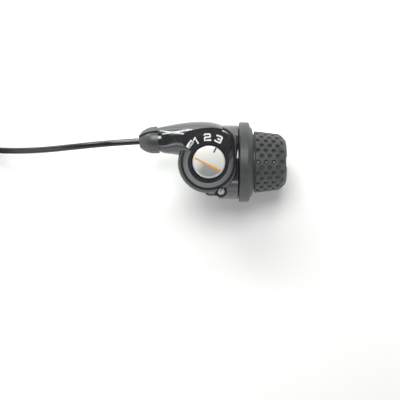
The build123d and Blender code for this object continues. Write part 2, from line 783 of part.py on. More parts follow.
# Tie round the coil
tie_t = 0.7
tie_w = 4.0
tie_half_w = coil_half_w + coil_slack
with BuildPart() as coil_tie:
    tie_plane = Plane(
        origin=coil_centre + Vector(0, coil_mean_r, coil_h / 2), x_dir=(0, 1, 0), z_dir=(1, 0, 0)
    )
    with BuildSketch(tie_plane.offset(-tie_w / 2)):
        RectangleRounded(2 * (tie_half_w + tie_t), coil_h + 2 * tie_t, 2.2)
        RectangleRounded(2 * tie_half_w, coil_h + 2 * seat_play, 1.5, mode=Mode.SUBTRACT)
    extrude(amount=tie_w)

# Far end of the cable: casing cap, bare wire and its crimped tip
tail_end = tail_points[-1]
tail_out = tail % 1
cap_length = 9.0
cap_overlap = 5.5
cap_plane = Plane(origin=tail_end - tail_out * cap_overlap, z_dir=tail_out)
wire_tail_length = 14.0
tip_length = 6.0
tip_overlap = 3.0
tip_wall = 0.5

with BuildPart() as casing_end_cap:
    with BuildSketch(cap_plane):
        Circle(casing_d / 2 + ferrule_wall)
        Circle(wire_r + coil_slack, mode=Mode.SUBTRACT)
    extrude(amount=cap_length)
    with BuildSketch(cap_plane):
        Circle(casing_d / 2 + seat_play)
    extrude(amount=cap_overlap, mode=Mode.SUBTRACT)

with BuildPart() as wire_tail:
    with BuildSketch(Plane(origin=tail_end, z_dir=tail_out)):
        Circle(wire_r)
    extrude(amount=wire_tail_length)

with BuildPart() as wire_tip:
    tip_plane = Plane(origin=tail_end + tail_out * (wire_tail_length - tip_overlap), z_dir=tail_out)
    with BuildSketch(tip_plane):
        Circle(wire_r + tip_wall)
    extrude(amount=tip_length)
    with BuildSketch(tip_plane):
        Circle(wire_r + seat_play)
    extrude(amount=tip_overlap, mode=Mode.SUBTRACT)
    chamfer(wire_tip.edges().filter_by(GeomType.CIRCLE).sort_by(Axis.Y)[-1], length=0.8 * tip_wall)

pieces = {
    "main_housing": main_housing,
    "indicator_cover": indicator_cover,
    "cover_screw": cover_screw,
    "clamp_bolt": clamp_bolt,
    "clamp_nut": clamp_nut,
    "grip_retainer": grip_retainer,
    "detent_spring": detent_spring,
    "inner_wire": inner_wire,
    "winding_drum": winding_drum,
    "cable_nipple": cable_nipple,
    "grip_core": grip_core,
    "grip_rubber": grip_rubber,
    "dial_gear": dial_gear,
    "dial_plate": dial_plate,
    "dial_foil": dial_foil,
    "adjusting_barrel": adjusting_barrel,
    "barrel_stem": barrel_stem,
    "casing_ferrule": casing_ferrule,
    "outer_casing": outer_casing,
    "casing_coil": casing_coil,
    "coil_tie": coil_tie,
    "casing_tail": casing_tail,
    "casing_end_cap": casing_end_cap,
    "wire_tail": wire_tail,
    "wire_tip": wire_tip,
}
for name, piece in pieces.items():
    piece.part.label = name
    export_step(piece.part, f"parts/{name}.step")
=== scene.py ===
import math

import bmesh
import bpy
from mathutils import Matrix, Vector


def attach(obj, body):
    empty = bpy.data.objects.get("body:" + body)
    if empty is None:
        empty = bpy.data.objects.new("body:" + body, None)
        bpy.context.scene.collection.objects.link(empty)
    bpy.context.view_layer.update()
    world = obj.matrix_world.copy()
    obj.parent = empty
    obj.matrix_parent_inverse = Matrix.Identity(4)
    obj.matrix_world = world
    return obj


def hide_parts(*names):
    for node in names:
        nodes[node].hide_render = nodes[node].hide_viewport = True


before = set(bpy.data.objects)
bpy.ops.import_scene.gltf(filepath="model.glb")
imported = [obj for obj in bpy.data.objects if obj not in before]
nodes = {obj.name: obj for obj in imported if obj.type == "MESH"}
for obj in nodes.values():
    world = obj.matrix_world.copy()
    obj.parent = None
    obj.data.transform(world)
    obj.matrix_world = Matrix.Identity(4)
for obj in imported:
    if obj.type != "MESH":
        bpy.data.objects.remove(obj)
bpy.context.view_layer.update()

# Main housing and indicator cover: two glass-filled nylon mouldings that meet under the indicator.
# They come out of a polished tool, so they are glossy and near black. The housing carries the bar
# clamp, the drum chamber, the sleeve under the grip and the cable arm.
MM = 0.001
nylon_ior = 1.8


def new_material(name):
    """Material with its node tree, its shader and the piece's own coordinates."""
    material = bpy.data.materials.new(name)
    material.use_nodes = True
    tree = material.node_tree
    shader = tree.nodes["Principled BSDF"]
    place = tree.nodes.new("ShaderNodeTexCoord").outputs["Object"]
    return material, tree, shader, place


def noise(tree, place, size_mm, detail=3.0):
    """Noise whose grains are about size_mm across."""
    texture = tree.nodes.new("ShaderNodeTexNoise")
    texture.inputs["Scale"].default_value = 1.0 / (size_mm * MM)
    texture.inputs["Detail"].default_value = detail
    tree.links.new(place, texture.inputs["Vector"])
    return texture.outputs["Fac"]


def spread(tree, factor, low, high, noise_low=0.3, noise_high=0.7):
    """Map the middle of a noise on to the range from low to high."""
    mapping = tree.nodes.new("ShaderNodeMapRange")
    mapping.inputs["From Min"].default_value = noise_low
    mapping.inputs["From Max"].default_value = noise_high
    mapping.inputs["To Min"].default_value = low
    mapping.inputs["To Max"].default_value = high
    tree.links.new(factor, mapping.inputs["Value"])
    return mapping.outputs["Result"]


def colours(tree, factor, dark, light, dark_to=0.35, light_from=0.65):
    """Colour that runs from dark to light over the middle of a factor."""
    ramp = tree.nodes.new("ShaderNodeValToRGB")
    ramp.color_ramp.elements[0].position = dark_to
    ramp.color_ramp.elements[0].color = dark
    ramp.color_ramp.elements[1].position = light_from
    ramp.color_ramp.elements[1].color = light
    tree.links.new(factor, ramp.inputs["Fac"])
    return ramp.outputs["Color"]


def bump(tree, shader, height, depth_mm, strength):
    """Relief of a real depth on the shader's normal."""
    relief = tree.nodes.new("ShaderNodeBump")
    relief.inputs["Distance"].default_value = depth_mm * MM
    relief.inputs["Strength"].default_value = strength
    tree.links.new(height, relief.inputs["Height"])
    tree.links.new(relief.outputs["Normal"], shader.inputs["Normal"])


def moulding(name, dark, light, rough, grain_mm, grain_depth_mm, grain_strength, ior=1.5):
    """Moulded plastic or rubber: mottled colour, uneven gloss and the tool's grain."""
    mottle_mm = 5.0
    grain_detail = 2.0
    material, tree, shader, place = new_material(name)
    shader.inputs["IOR"].default_value = ior
    mottle = noise(tree, place, mottle_mm)
    tree.links.new(colours(tree, mottle, dark, light), shader.inputs["Base Color"])
    tree.links.new(spread(tree, mottle, *rough), shader.inputs["Roughness"])
    bump(tree, shader, noise(tree, place, grain_mm, grain_detail), grain_depth_mm, grain_strength)
    return material


def dress(material, *node_names):
    """Give CAD nodes their finish."""
    for node_name in node_names:
        mesh = nodes[node_name].data
        mesh.materials.clear()
        mesh.materials.append(material)


housing_gloss = moulding(
    "housing_gloss", dark=(0.0070, 0.0075, 0.0095, 1.0), light=(0.0100, 0.0105, 0.0130, 1.0),
    rough=(0.10, 0.17), grain_mm=1.5, grain_depth_mm=0.02, grain_strength=0.05, ior=nylon_ior,
)
dress(housing_gloss, "main_housing", "indicator_cover")

# Clamp bolt, nut, screw and wire: turned or drawn steel with bright zinc plating, a little
# uneven in tone, with fine marks from the tool.
zinc_dark = (0.30, 0.31, 0.32, 1.0)
zinc_light = (0.48, 0.49, 0.50, 1.0)
zinc_rough = (0.24, 0.40)


def plated_metal(name, dark, light, rough):
    """Plated metal with an uneven tone and fine tool marks."""
    tone_mm = 1.4
    mark_mm = 0.25
    mark_detail = 2.0
    mark_depth_mm = 0.01
    mark_strength = 0.3
    material, tree, shader, place = new_material(name)
    shader.inputs["Metallic"].default_value = 1.0
    tone = noise(tree, place, tone_mm)
    tree.links.new(colours(tree, tone, dark, light), shader.inputs["Base Color"])
    tree.links.new(spread(tree, tone, *rough), shader.inputs["Roughness"])
    bump(tree, shader, noise(tree, place, mark_mm, mark_detail), mark_depth_mm, mark_strength)
    return material


zinc_plate = plated_metal("zinc_plate", zinc_dark, zinc_light, zinc_rough)
dress(zinc_plate, "clamp_bolt", "clamp_nut", "cover_screw", "barrel_stem", "inner_wire", "cable_nipple")
spring_steel = plated_metal(
    "spring_steel", dark=(0.22, 0.22, 0.23, 1.0), light=(0.34, 0.34, 0.35, 1.0), rough=(0.25, 0.40)
)
dress(spring_steel, "detent_spring", "grip_retainer")

# Winding drum and dial gear: white acetal mouldings inside the housing, which run against it
# without grease. The drum's crown of teeth turns the gear's sector.
acetal = moulding(
    "acetal", dark=(0.58, 0.57, 0.53, 1.0), light=(0.66, 0.65, 0.61, 1.0),
    rough=(0.34, 0.44), grain_mm=0.8, grain_depth_mm=0.02, grain_strength=0.2,
)
dress(acetal, "winding_drum", "dial_gear")

# Grip core: the guard flange, its hollow neck and the tube under the rubber in one nylon moulding.
# Its tool is spark-eroded, which leaves a fine matt grain. A snap ring holds it on the housing.
flange_matt = moulding(
    "flange_matt", dark=(0.048, 0.051, 0.051, 1.0), light=(0.062, 0.065, 0.064, 1.0),
    rough=(0.38, 0.50), grain_mm=0.45, grain_depth_mm=0.05, grain_strength=0.35,
)
dress(flange_matt, "grip_core")

# Grip rubber: a soft sleeve moulded over the core, tapered to its rounded open end. Staggered
# rows of round pits cover it, with floors that lean a little and are smoother than the skin. The
# end rim has one flat notch at the top.
rubber_left = 28.2
rubber_right = 48.1
rubber_r = 19.3
rubber_end_r = 16.9
rubber_bore_r = 15.42
rubber_lip_r = 12.0
rubber_lip_w = 4.58
rubber_edge_r = 0.8
rubber_round_w = 4.2
rubber_round_r = 5.0
rubber_rim_r = 13.2
rubber_rim_edge = 2.8
rubber_slices = 640
rubber_step = 0.17
edge_steps = 6
round_steps = 10
pit_width = 3.0
pit_floor_share = 0.22
pit_depth = 1.45
pit_lean_round = 0.2
pit_lean_along = 0.22
pit_rows = 32.0
pit_pitch = 4.9
pit_first = 1.9
pit_last_column = 3.0
pit_rough = 0.34
notch_half_w = 3.0
notch_depth = 0.6


def corner_arc(before, corner, after, radius, steps):
    """Points of the arc that rounds a corner of the sleeve's half section, as pairs of x and radius."""
    corner = Vector(corner)
    back = (Vector(before) - corner).normalized()
    ahead = (Vector(after) - corner).normalized()
    half = back.angle(ahead) / 2
    centre = corner + (back + ahead).normalized() * (radius / math.sin(half))
    first = corner + back * (radius / math.tan(half)) - centre
    sweep = (math.pi - 2.0 * half) / steps
    turns = [Matrix.Rotation(-sweep * step, 2) for step in range(steps + 1)]
    return [tuple(centre + turn @ first) for turn in turns]


def straight(start, end, steps):
    """Points between two ends of a straight stretch, without its ends."""
    shares = [step / steps for step in range(1, steps)]
    return [(start[0] + (end[0] - start[0]) * at, start[1] + (end[1] - start[1]) * at) for at in shares]


taper = (rubber_r - rubber_end_r) / (rubber_right - rubber_left)
round_x = rubber_right - rubber_round_w
rubber_corners = [
    ((rubber_left, rubber_r), rubber_edge_r, edge_steps),
    ((round_x, rubber_r - taper * (round_x - rubber_left)), rubber_round_r, round_steps),
    ((rubber_right, rubber_rim_r), rubber_rim_edge, edge_steps),
]
outer_path = [(rubber_left, rubber_bore_r)] + [corner for corner, _, _ in rubber_corners]
outer_path += [(rubber_right, rubber_lip_r)]
rubber_section = [outer_path[0]]
for index, (corner, radius, steps) in enumerate(rubber_corners):
    bend = corner_arc(outer_path[index], corner, outer_path[index + 2], radius, steps)
    gap = math.dist(rubber_section[-1], bend[0])
    rubber_section += straight(rubber_section[-1], bend[0], max(int(gap / rubber_step), 2)) + bend
rubber_section += [(rubber_right, rubber_lip_r), (rubber_right - rubber_lip_w, rubber_lip_r)]
rubber_section += [(rubber_right - rubber_lip_w, rubber_bore_r)]
rubber_points = []
for x, radius in rubber_section:
    for slice_index in range(rubber_slices):
        angle = 2.0 * math.pi * slice_index / rubber_slices
        y = radius * math.cos(angle)
        z = radius * math.sin(angle)
        in_notch = abs(y) < notch_half_w and z > 0.0
        reach = min(x, rubber_right - notch_depth) if in_notch else x
        rubber_points.append((reach * MM, y * MM, z * MM))
rubber_faces = []
section_size = len(rubber_section)
for ring in range(section_size):
    near = ring * rubber_slices
    far = (ring + 1) % section_size * rubber_slices
    for slice_index in range(rubber_slices):
        after = (slice_index + 1) % rubber_slices
        rubber_faces.append((near + slice_index, near + after, far + after, far + slice_index))
rubber_mesh = bpy.data.meshes.new("rubber_sleeve")
rubber_mesh.from_pydata(rubber_points, [], rubber_faces)
rubber_sleeve = bpy.data.objects.new("rubber_sleeve", rubber_mesh)
bpy.context.collection.objects.link(rubber_sleeve)
rubber_grey = moulding(
    "rubber_grey", dark=(0.048, 0.051, 0.051, 1.0), light=(0.065, 0.068, 0.067, 1.0),
    rough=(0.44, 0.58), grain_mm=0.35, grain_depth_mm=0.05, grain_strength=0.3,
)
pit_mark = "pit"
tree = rubber_grey.node_tree
shader = tree.nodes["Principled BSDF"]
skin_rough = shader.inputs["Roughness"].links[0].from_socket
pit_reader = tree.nodes.new("ShaderNodeAttribute")
pit_reader.attribute_name = pit_mark
pit_gloss = tree.nodes.new("ShaderNodeMix")
pit_gloss.inputs["B"].default_value = pit_rough
tree.links.new(pit_reader.outputs["Fac"], pit_gloss.inputs["Factor"])
tree.links.new(skin_rough, pit_gloss.inputs["A"])
tree.links.new(pit_gloss.outputs["Result"], shader.inputs["Roughness"])


def calculate(tree, operation, *values):
    """Math node on sockets or plain numbers."""
    node = tree.nodes.new("ShaderNodeMath")
    node.operation = operation
    for socket, value in zip(node.inputs, values):
        if isinstance(value, float):
            socket.default_value = value
        else:
            tree.links.new(value, socket)
    return node.outputs[0]


def node_tree(name, sizes):
    """Geometry node tree with a geometry input and named sizes."""
    tree = bpy.data.node_groups.new(name, "GeometryNodeTree")
    tree.interface.new_socket("Geometry", in_out="INPUT", socket_type="NodeSocketGeometry")
    for size_name in sizes:
        tree.interface.new_socket(size_name, in_out="INPUT", socket_type="NodeSocketFloat")
    tree.interface.new_socket("Geometry", in_out="OUTPUT", socket_type="NodeSocketGeometry")
    return tree, tree.nodes.new("NodeGroupInput").outputs, tree.nodes.new("NodeGroupOutput").inputs


def apply_tree(piece, tree, sizes):
    """Run a geometry node tree on a piece with its sizes, and keep the result as a plain mesh."""
    modifier = piece.modifiers.new(tree.name, "NODES")
    modifier.node_group = tree
    for item in tree.interface.items_tree:
        if item.in_out == "INPUT" and item.name in sizes:
            modifier[item.identifier] = sizes[item.name]
    graph = bpy.context.evaluated_depsgraph_get()
    result = bpy.data.meshes.new_from_object(piece.evaluated_get(graph))
    piece.modifiers.remove(modifier)
    piece.data = result


def length_of(tree, first, second):
    """Length of a flat vector from its two parts."""
    squares = calculate(tree, "MULTIPLY_ADD", first, first, calculate(tree, "MULTIPLY", second, second))
    return calculate(tree, "SQRT", squares)


def parts_of(tree, input_type):
    """The three parts of a vector that each point has."""
    split = tree.nodes.new("ShaderNodeSeparateXYZ")
    tree.links.new(tree.nodes.new(input_type).outputs[0], split.inputs[0])
    return split.outputs


pit_sizes = {
    "Pit Width": pit_width * MM, "Floor Share": pit_floor_share, "Pit Depth": pit_depth * MM,
    "Lean Round": pit_lean_round, "Lean Along": pit_lean_along, "Rows": pit_rows,
    "Pitch": pit_pitch * MM, "First Pit": (rubber_left + pit_first) * MM, "Last Column": pit_last_column,
}
outside_from = 0.3
tree, given, result = node_tree("sleeve_pits", pit_sizes)
x, y, z = parts_of(tree, "GeometryNodeInputPosition")
_, normal_y, normal_z = parts_of(tree, "GeometryNodeInputNormal")
radius = length_of(tree, y, z)
row_step = calculate(tree, "DIVIDE", 2.0 * math.pi, given["Rows"])
angle = calculate(tree, "ARCTAN2", y, z)
row = calculate(tree, "ROUND", calculate(tree, "DIVIDE", angle, row_step))
odd = calculate(tree, "FLOORED_MODULO", row, 2.0)
half_pitch = calculate(tree, "MULTIPLY", given["Pitch"], 0.5)
row_start = calculate(tree, "MULTIPLY_ADD", odd, half_pitch, given["First Pit"])
pitches_in = calculate(tree, "DIVIDE", calculate(tree, "SUBTRACT", x, row_start), given["Pitch"])
last_column = calculate(tree, "SUBTRACT", given["Last Column"], odd)
column = calculate(tree, "MINIMUM", calculate(tree, "ROUND", pitches_in), last_column)
column = calculate(tree, "MAXIMUM", column, 0.0)
along = calculate(tree, "SUBTRACT", x, calculate(tree, "MULTIPLY_ADD", column, given["Pitch"], row_start))
off_row = calculate(tree, "SUBTRACT", angle, calculate(tree, "MULTIPLY", row, row_step))
across = calculate(tree, "MULTIPLY", off_row, radius)
from_pit = length_of(tree, along, across)
pit_reach = calculate(tree, "MULTIPLY", given["Pit Width"], 0.5)
pit_floor = calculate(tree, "MULTIPLY", given["Pit Width"], given["Floor Share"])
facing = calculate(tree, "MULTIPLY_ADD", normal_y, y, calculate(tree, "MULTIPLY", normal_z, z))
is_outside = calculate(tree, "GREATER_THAN", calculate(tree, "DIVIDE", facing, radius), outside_from)
bowl = tree.nodes.new("ShaderNodeMapRange")
bowl.interpolation_type = "SMOOTHSTEP"
bowl.inputs["To Min"].default_value = 1.0
bowl.inputs["To Max"].default_value = 0.0
tree.links.new(from_pit, bowl.inputs["Value"])
tree.links.new(pit_floor, bowl.inputs["From Min"])
tree.links.new(pit_reach, bowl.inputs["From Max"])
in_pit = calculate(tree, "MULTIPLY", bowl.outputs["Result"], is_outside)
lean_in = calculate(tree, "MULTIPLY_ADD", across, given["Lean Round"], given["Pit Depth"])
lean_out = calculate(tree, "MULTIPLY", along, given["Lean Along"])
sunk = calculate(tree, "MULTIPLY", in_pit, calculate(tree, "SUBTRACT", lean_in, lean_out))
inward = calculate(tree, "DIVIDE", calculate(tree, "MULTIPLY", sunk, -1.0), radius)
offset = tree.nodes.new("ShaderNodeCombineXYZ")
tree.links.new(calculate(tree, "MULTIPLY", y, inward), offset.inputs["Y"])
tree.links.new(calculate(tree, "MULTIPLY", z, inward), offset.inputs["Z"])
press = tree.nodes.new("GeometryNodeSetPosition")
tree.links.new(given["Geometry"], press.inputs["Geometry"])
tree.links.new(offset.outputs[0], press.inputs["Offset"])
mark = tree.nodes.new("GeometryNodeStoreNamedAttribute")
mark.data_type = "FLOAT"
mark.inputs["Name"].default_value = pit_mark
tree.links.new(press.outputs["Geometry"], mark.inputs["Geometry"])
tree.links.new(in_pit, mark.inputs["Value"])
real = tree.nodes.new("GeometryNodeRealizeInstances")
tree.links.new(mark.outputs["Geometry"], real.inputs["Geometry"])
finish = tree.nodes.new("GeometryNodeSetMaterial")
finish.inputs["Material"].default_value = rubber_grey
tree.links.new(real.outputs["Geometry"], finish.inputs["Geometry"])
tree.links.new(finish.outputs["Geometry"], result["Geometry"])
apply_tree(rubber_sleeve, tree, pit_sizes)
rubber_sleeve.data.shade_smooth()
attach(rubber_sleeve, "grip")
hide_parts("grip_rubber")

# Dial: a black plate with a slightly domed, brushed silver foil let into it. An index mark and an
# orange stripe are printed on the foil. Its colour carries a painted reflection: lighter above the
# stripe, at the rim and towards the stripe's start.
dress(housing_gloss, "dial_plate")
foil_r = 9.95
foil_low = 25.0
foil_crown = 0.42
foil_edge = 0.16
print_lift = 0.02
# The grey is the foil's own colour. The light colour is a painted reflection laid over it where the foil
# would catch the light.
foil_grey = (0.27, 0.28, 0.28, 1.0)
foil_painted_sheen = (0.57, 0.57, 0.535, 1.0)
foil_rough = (0.34, 0.46)
brush_scale = (0.02, 1.0, 1.0)
brush_mm = 0.25
brush_detail = 4.0
brush_depth_mm = 0.01
brush_strength = 0.25
stripe_start = (-8.5, 2.4)
stripe_end = (7.0, -5.5)
stripe_w = (1.0, 1.5)
mark_start = (4.4, 8.7)
mark_end = (2.9, 5.7)
mark_w = (0.9, 0.95)
# Where the painted reflection lies, in mm: above the stripe, round the rim and towards the stripe's
# start.
sheen_side_from = -1.6
sheen_side_to = 0.5
sheen_rim_from = -1.5
sheen_rim_to = -0.8
sheen_end_from = -4.0
sheen_end_to = 11.0
foil_material, tree, shader, place = new_material("brushed_foil")
brush = tree.nodes.new("ShaderNodeMapping")
brush.inputs["Scale"].default_value = brush_scale
tree.links.new(place, brush.inputs["Vector"])
brushed = noise(tree, brush.outputs["Vector"], brush_mm, brush_detail)
shader.inputs["Metallic"].default_value = 0.6


def vector_value(tree, operation, vector, other):
    """Number from a vector operation with a fixed second vector."""
    node = tree.nodes.new("ShaderNodeVectorMath")
    node.operation = operation
    tree.links.new(vector, node.inputs[0])
    node.inputs[1].default_value = other
    return node.outputs["Value"]


def ramp_between(tree, value, low_mm, high_mm):
    """Factor from 0 to 1 between two distances in millimetres."""
    mapping = tree.nodes.new("ShaderNodeMapRange")
    mapping.inputs["From Min"].default_value = low_mm * MM
    mapping.inputs["From Max"].default_value = high_mm * MM
    tree.links.new(value, mapping.inputs["Value"])
    return mapping.outputs["Result"]


# Painted reflection mask: the foil is coloured lighter above the stripe, at its rim and towards the
# stripe's start, as if lit there.
stripe_run = (Vector(stripe_end) - Vector(stripe_start)).normalized()
stripe_side = Vector((-stripe_run.y, stripe_run.x))
stripe_at = stripe_side.dot(Vector(stripe_start))
from_stripe = vector_value(tree, "DOT_PRODUCT", place, (*stripe_side, 0.0))
sheen_above_stripe = ramp_between(tree, from_stripe, stripe_at + sheen_side_from, stripe_at + sheen_side_to)
from_centre = vector_value(tree, "DISTANCE", place, (0.0, 0.0, foil_low * MM))
sheen_at_rim = ramp_between(tree, from_centre, foil_r + sheen_rim_from, foil_r + sheen_rim_to)
back_along = vector_value(tree, "DOT_PRODUCT", place, (*-stripe_run, 0.0))
sheen_to_end = ramp_between(tree, back_along, sheen_end_from, sheen_end_to)
painted_sheen = calculate(tree, "MAXIMUM", calculate(tree, "MAXIMUM", sheen_above_stripe, sheen_at_rim), sheen_to_end)
tree.links.new(colours(tree, painted_sheen, foil_grey, foil_painted_sheen), shader.inputs["Base Color"])
tree.links.new(spread(tree, brushed, *foil_rough), shader.inputs["Roughness"])
bump(tree, shader, brushed, brush_depth_mm, brush_strength)


def foil_z(x, y):
    """Height of the domed foil over a point of its plan."""
    return foil_low + foil_edge + (foil_crown - foil_edge) * (1.0 - (x * x + y * y) / (foil_r * foil_r))


def add_piece(name, shape, material, body):
    """Turn a bmesh in millimetres into a piece that rides on a body."""
    bmesh.ops.recalc_face_normals(shape, faces=shape.faces)
    bmesh.ops.scale(shape, vec=(MM, MM, MM), verts=shape.verts)
    mesh = bpy.data.meshes.new(name)
    shape.to_mesh(mesh)
    shape.free()
    mesh.materials.append(material)
    mesh.shade_smooth()
    piece = bpy.data.objects.new(name, mesh)
    bpy.context.collection.objects.link(piece)
    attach(piece, body)
    return piece


foil_steps = 16
foil_slices = 96
foil_rings = [foil_r * step / foil_steps for step in range(1, foil_steps + 1)]
shape = bmesh.new()
crown = shape.verts.new((0.0, 0.0, foil_z(0.0, 0.0)))
base = shape.verts.new((0.0, 0.0, foil_low))
rings = []
for radius, z in [(radius, None) for radius in foil_rings] + [(foil_r, foil_low)]:
    ring = []
    for slice_index in range(foil_slices):
        angle = 2.0 * math.pi * slice_index / foil_slices
        x = radius * math.cos(angle)
        y = radius * math.sin(angle)
        ring.append(shape.verts.new((x, y, foil_z(x, y) if z is None else z)))
    rings.append(ring)
for slice_index in range(foil_slices):
    after = (slice_index + 1) % foil_slices
    shape.faces.new((crown, rings[0][slice_index], rings[0][after]))
    shape.faces.new((base, rings[-1][after], rings[-1][slice_index]))
    for inner, outer in zip(rings, rings[1:]):
        shape.faces.new((inner[slice_index], outer[slice_index], outer[after], inner[after]))
silver_foil = add_piece("silver_foil", shape, foil_material, "dial")
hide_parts("dial_foil")


def ink(name, colour):
    """Screen-printed ink, slightly uneven in tone."""
    tone_mm = 0.6
    dark_share = 0.86
    rough = (0.38, 0.52)
    material, tree, shader, place = new_material(name)
    tone = noise(tree, place, tone_mm)
    dark = tuple(dark_share * value for value in colour) + (1.0,)
    tree.links.new(colours(tree, tone, dark, colour + (1.0,)), shader.inputs["Base Color"])
    tree.links.new(spread(tree, tone, *rough), shader.inputs["Roughness"])
    return material


def printed_bar(name, start, end, widths, material):
    """Printed bar on the foil's dome, with its own width at each end."""
    start = Vector(start)
    end = Vector(end)
    start_w, end_w = widths
    side = Vector((start.y - end.y, end.x - start.x)).normalized()
    shape = bmesh.new()
    steps = 14
    rows = []
    for step in range(steps + 1):
        share = step / steps
        middle = start.lerp(end, share)
        half = (start_w + (end_w - start_w) * share) / 2
        corners = [middle + side * half, middle, middle - side * half]
        top = [shape.verts.new((at.x, at.y, foil_z(at.x, at.y) + print_lift)) for at in corners]
        low = [shape.verts.new((at.x, at.y, foil_z(at.x, at.y) - print_lift)) for at in reversed(corners)]
        rows.append(top + low)
    for row, after in zip(rows, rows[1:]):
        for index in range(len(row)):
            following = (index + 1) % len(row)
            shape.faces.new((row[index], after[index], after[following], row[following]))
    shape.faces.new(rows[0])
    shape.faces.new(reversed(rows[-1]))
    return add_piece(name, shape, material, "dial")


orange_ink = ink("orange_ink", (0.74, 0.31, 0.03))
black_ink = ink("black_ink", (0.016, 0.016, 0.018))
printed_bar("dial_stripe", stripe_start, stripe_end, stripe_w, orange_ink)
printed_bar("dial_mark", mark_start, mark_end, mark_w, black_ink)

# Gear numbers and hill sign: white ink printed on the cover's flat face, one number a detent step
# from the next round the dial.
face_z = 25.5
number_ring_r = 15.05
number_stroke = 1.0
number_turns = {"1": 30.3, "2": 3.5, "3": -23.0}
sign_at = (-11.45, 10.7, face_z)
sign_turn = 53.0
sign_size = (5.1, 2.5)
hill_stroke = 0.45
ink_t = 0.04
white_ink = ink("white_ink", (0.84, 0.84, 0.83))
number_strokes = {
    "1": [[(-1.15, 1.0), (0.1, 1.85), (0.1, -1.85)]],
    "2": [[(-1.7, 1.5), (-1.4, 1.83), (1.3, 1.83), (1.7, 1.5), (1.7, 0.4), (1.3, 0.0),
           (-1.25, -0.05), (-1.7, -0.4), (-1.7, -1.83), (1.9, -1.83)]],
    "3": [[(-1.7, 1.55), (-1.4, 1.83), (1.3, 1.83), (1.7, 1.5), (1.7, 0.35), (1.3, 0.0), (-0.3, 0.0)],
          [(1.3, 0.0), (1.75, -0.35), (1.75, -1.5), (1.3, -1.83), (-1.4, -1.83), (-1.75, -1.5)]],
}


def inked_strokes(strokes, width, place):
    """Flat printed strokes with round ends and joints, put in place by a matrix."""
    curve = bpy.data.curves.new("strokes", "CURVE")
    curve.dimensions = "3D"
    curve.bevel_depth = width / 2
    curve.bevel_resolution = 4
    curve.use_fill_caps = True
    for stroke in strokes:
        line = curve.splines.new("POLY")
        line.points.add(len(stroke) - 1)
        for point, at in zip(line.points, stroke):
            point.co = (at[0], at[1], 0.0, 1.0)
    holder = bpy.data.objects.new("strokes", curve)
    shape = bmesh.new()
    outline = bpy.data.meshes.new_from_object(holder)
    shape.from_mesh(outline)
    bpy.data.objects.remove(holder)
    bpy.data.curves.remove(curve)
    bpy.data.meshes.remove(outline)
    for stroke in strokes:
        for at in stroke:
            centre = Matrix.Translation((at[0], at[1], 0.0))
            bmesh.ops.create_uvsphere(shape, u_segments=16, v_segments=8, radius=width / 2, matrix=centre)
    flat = Matrix.Diagonal((1.0, 1.0, 2.0 * ink_t / width, 1.0))
    bmesh.ops.transform(shape, matrix=place @ flat, verts=shape.verts)
    return shape


for number, turn_deg in number_turns.items():
    turn = math.radians(turn_deg)
    at = Vector((-number_ring_r * math.sin(turn), number_ring_r * math.cos(turn), face_z))
    place = Matrix.Translation(at) @ Matrix.Rotation(turn, 4, "Z")
    shape = inked_strokes(number_strokes[number], number_stroke, place)
    add_piece("number_" + number, shape, white_ink, "housing")
sign_place = Matrix.Translation(sign_at) @ Matrix.Rotation(math.radians(sign_turn), 4, "Z")
shape = bmesh.new()
bmesh.ops.create_cube(shape, size=1.0)
plate = Matrix.Diagonal((*sign_size, 2.0 * ink_t, 1.0))
bmesh.ops.transform(shape, matrix=sign_place @ plate, verts=shape.verts)
add_piece("hill_sign", shape, white_ink, "housing")
hill_slopes = [[(-1.9, -0.7), (1.6, 0.65), (1.6, -0.7)], [(-0.2, -0.35), (1.2, -0.1)]]
hill_lift = Matrix.Translation((0.0, 0.0, ink_t))
shape = inked_strokes(hill_slopes, hill_stroke, sign_place @ hill_lift)
add_piece("hill_slope", shape, black_ink, "housing")

# Adjusting barrel: a three-lobed knob, moulded in satin black nylon round its threaded stem. It
# turns on the end of the cable arm and takes up the slack of the wire.
knob_satin = moulding(
    "knob_satin", dark=(0.023, 0.024, 0.025, 1.0), light=(0.031, 0.032, 0.033, 1.0),
    rough=(0.38, 0.48), grain_mm=0.6, grain_depth_mm=0.02, grain_strength=0.15, ior=nylon_ior,
)
dress(knob_satin, "adjusting_barrel")

# Cable casing: a steel spiral in a black plastic jacket, 4 mm across. It leaves the barrel, sinks
# to the table and ends in a coil that is put away out of view. A metal ferrule seats it.
casing_d = 4.0
lead_route = [(-39.61, 12.93, 13.0), (-59.91, 11.7, 13.0), (-82.0, 9.6, 8.0), (-106.0, 7.3, -5.0),
              (-130.0, 7.0, -17.0), (-150.0, 8.7, -22.0)]
tail_route = [(-189.2, -27.7, -8.0), (-179.3, -34.9, -5.8), (-168.0, -36.9, -5.6),
              (-157.2, -34.0, -5.4), (-148.8, -25.5, -5.0)]
coil_x = -168.0
coil_y = -15.4
coil_low = -22.0
coil_inner_r = 17.0
coil_outer_r = 25.0
coil_turns = 11.25
row_turns = 3
flat_turns = 2.0
last_row = 3
start_turn = 0.25
turn_points = 12
# The curve runs inside its control points, so these lie further out by this share.
hull_share = (6.0 + 2.0 * math.cos(2.0 * math.pi / turn_points)) / 8.0


def coil_point(turn):
    """Point of the coil's route: two flat turns in or out, then one that climbs to the next row."""
    row = min(int(turn / row_turns), last_row)
    share = turn - row * row_turns
    start_r, end_r = (coil_outer_r, coil_inner_r) if row % 2 == 0 else (coil_inner_r, coil_outer_r)
    reach = (start_r + (end_r - start_r) * min(share / flat_turns, 1.0)) / hull_share
    climb = max(share - flat_turns, 0.0) if row < last_row else 0.0
    angle = 2.0 * math.pi * (turn + start_turn)
    height = coil_low + casing_d * (row + climb)
    return (coil_x + reach * math.cos(angle), coil_y + reach * math.sin(angle), height)


